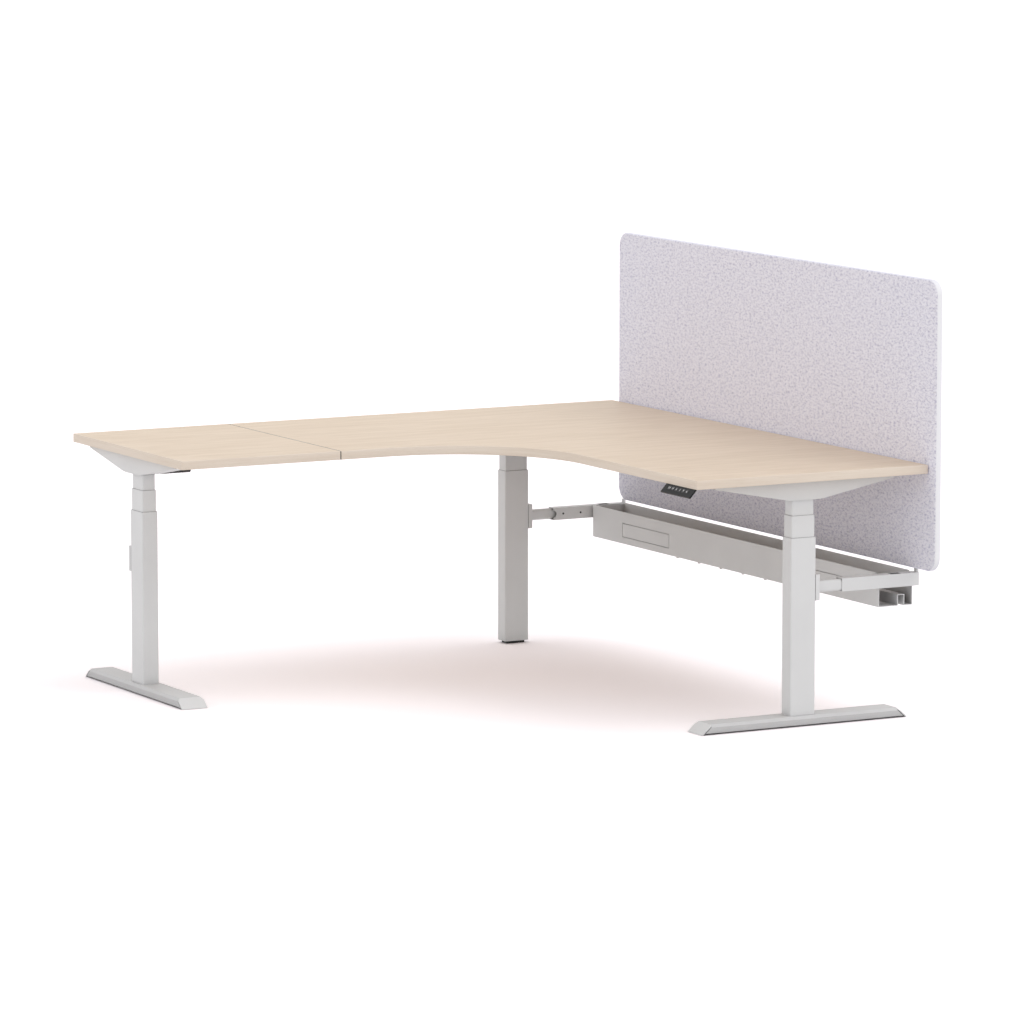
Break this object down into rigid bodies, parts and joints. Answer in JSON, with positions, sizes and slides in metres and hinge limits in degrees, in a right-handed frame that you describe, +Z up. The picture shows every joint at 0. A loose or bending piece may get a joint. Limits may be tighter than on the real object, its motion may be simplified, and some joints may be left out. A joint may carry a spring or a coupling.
{
  "type": "height-adjustable corner desk",
  "caption": "L-shaped sit-stand desk on telescopic legs, with cantilever feet, handset, cable tray with flaps and a felt screen carried behind one wing.",
  "frame": {"origin": "on the floor, under the middle of the desk's box", "axes": "+Z up; the extended wing runs towards -X, the screened wing runs towards -Y, and the screen stands on the +X side"},
  "size_m": [1.824, 1.832, 1.234],
  "materials": {
    "maple_board": "satin laminate",
    "maple_edge": "satin edge band",
    "white_steel": "powder coat",
    "black_plastic": "matte",
    "dark_case": "matte",
    "zinc_steel": "zinc plated",
    "felt": "flecked felt",
    "handset_plastic": "satin",
    "button_plastic": "matte"
  },
  "bodies": {
    "base": {"left_foot": "white_steel", "right_foot": "white_steel", "left_foot_caps": "white_steel", "right_foot_caps": "white_steel", "left_foot_glides": "black_plastic", "right_foot_glides": "black_plastic", "corner_glide": "black_plastic", "left_outer_tube": "white_steel", "corner_outer_tube": "white_steel", "right_outer_tube": "white_steel", "left_side_plate": "white_steel", "corner_arm_plate": "white_steel", "right_arm_plate": "white_steel", "corner_arm_tube": "white_steel", "right_arm_tube": "white_steel", "arm_screws": "zinc_steel"},
    "top": {"main_worktop": "maple_board", "main_edging": "maple_edge", "extension_worktop": "maple_board", "extension_edging": "maple_edge", "seam_plates": "zinc_steel", "seam_screws": "zinc_steel", "left_bracket": "white_steel", "right_bracket": "white_steel", "corner_plate": "white_steel", "bracket_screws": "zinc_steel", "left_motor": "dark_case", "right_motor": "dark_case", "corner_motor": "dark_case", "left_rail": "white_steel", "right_rail": "white_steel", "control_box": "dark_case", "handset_case": "handset_plastic", "left_inner_tube": "white_steel", "corner_inner_tube": "white_steel", "right_inner_tube": "white_steel"},
    "carrier": {"corner_arm_sleeve": "white_steel", "right_arm_sleeve": "white_steel", "set_screws": "zinc_steel", "cable_tray": "white_steel", "tray_rivets": "zinc_steel", "tray_hanger": "white_steel", "corner_screen_post": "white_steel", "right_screen_post": "white_steel", "screen": "felt"},
    "left_stage": {"left_middle_tube": "white_steel"},
    "corner_stage": {"corner_middle_tube": "white_steel"},
    "right_stage": {"right_middle_tube": "white_steel"},
    "left_flap": {"left_tray_flap": "white_steel"},
    "right_flap": {"right_tray_flap": "white_steel"},
    "button_1": {"handset_button_1": "button_plastic"},
    "button_2": {"handset_button_2": "button_plastic"},
    "button_3": {"handset_button_3": "button_plastic"},
    "button_4": {"handset_button_4": "button_plastic"},
    "button_5": {"handset_button_5": "button_plastic"},
    "button_6": {"handset_button_6": "button_plastic"}
  },
  "joints": [
    {"name": "lift", "type": "slide", "parent": "base", "child": "top", "axis": [0, 0, 1], "range_m": [-0.085, 0.56]},
    {"name": "left_stage_slide", "type": "slide", "parent": "base", "child": "left_stage", "axis": [0, 0, 1], "range_m": [-0.0425, 0.28]},
    {"name": "corner_stage_slide", "type": "slide", "parent": "base", "child": "corner_stage", "axis": [0, 0, 1], "range_m": [-0.0425, 0.28]},
    {"name": "right_stage_slide", "type": "slide", "parent": "base", "child": "right_stage", "axis": [0, 0, 1], "range_m": [-0.0425, 0.28]},
    {"name": "carrier_reach", "type": "slide", "parent": "base", "child": "carrier", "axis": [1, 0, 0], "range_m": [0, 0.06]},
    {"name": "left_flap_hinge", "type": "hinge", "parent": "carrier", "child": "left_flap", "pos_m": [0.785, 0.5255, 0.334], "axis": [0, -1, 0], "range_deg": [0, 90]},
    {"name": "right_flap_hinge", "type": "hinge", "parent": "carrier", "child": "right_flap", "pos_m": [0.785, -0.4665, 0.334], "axis": [0, -1, 0], "range_deg": [0, 90]},
    {"name": "button_1_press", "type": "slide", "parent": "top", "child": "button_1", "axis": [0.7314, 0, -0.682], "range_m": [0, 0.001], "stiffness_N_per_m": 1000, "springref_m": -0.001},
    {"name": "button_2_press", "type": "slide", "parent": "top", "child": "button_2", "axis": [0.7314, 0, -0.682], "range_m": [0, 0.001], "stiffness_N_per_m": 1000, "springref_m": -0.001},
    {"name": "button_3_press", "type": "slide", "parent": "top", "child": "button_3", "axis": [0.7314, 0, -0.682], "range_m": [0, 0.001], "stiffness_N_per_m": 1000, "springref_m": -0.001},
    {"name": "button_4_press", "type": "slide", "parent": "top", "child": "button_4", "axis": [0.7314, 0, -0.682], "range_m": [0, 0.001], "stiffness_N_per_m": 1000, "springref_m": -0.001},
    {"name": "button_5_press", "type": "slide", "parent": "top", "child": "button_5", "axis": [0.7314, 0, -0.682], "range_m": [0, 0.001], "stiffness_N_per_m": 1000, "springref_m": -0.001},
    {"name": "button_6_press", "type": "slide", "parent": "top", "child": "button_6", "axis": [0.7314, 0, -0.682], "range_m": [0, 0.001], "stiffness_N_per_m": 1000, "springref_m": -0.001}
  ],
  "couplings": [
    {"joint": "left_stage_slide", "follows": "lift", "ratio": 0.5},
    {"joint": "corner_stage_slide", "follows": "lift", "ratio": 0.5},
    {"joint": "right_stage_slide", "follows": "lift", "ratio": 0.5}
  ]
}
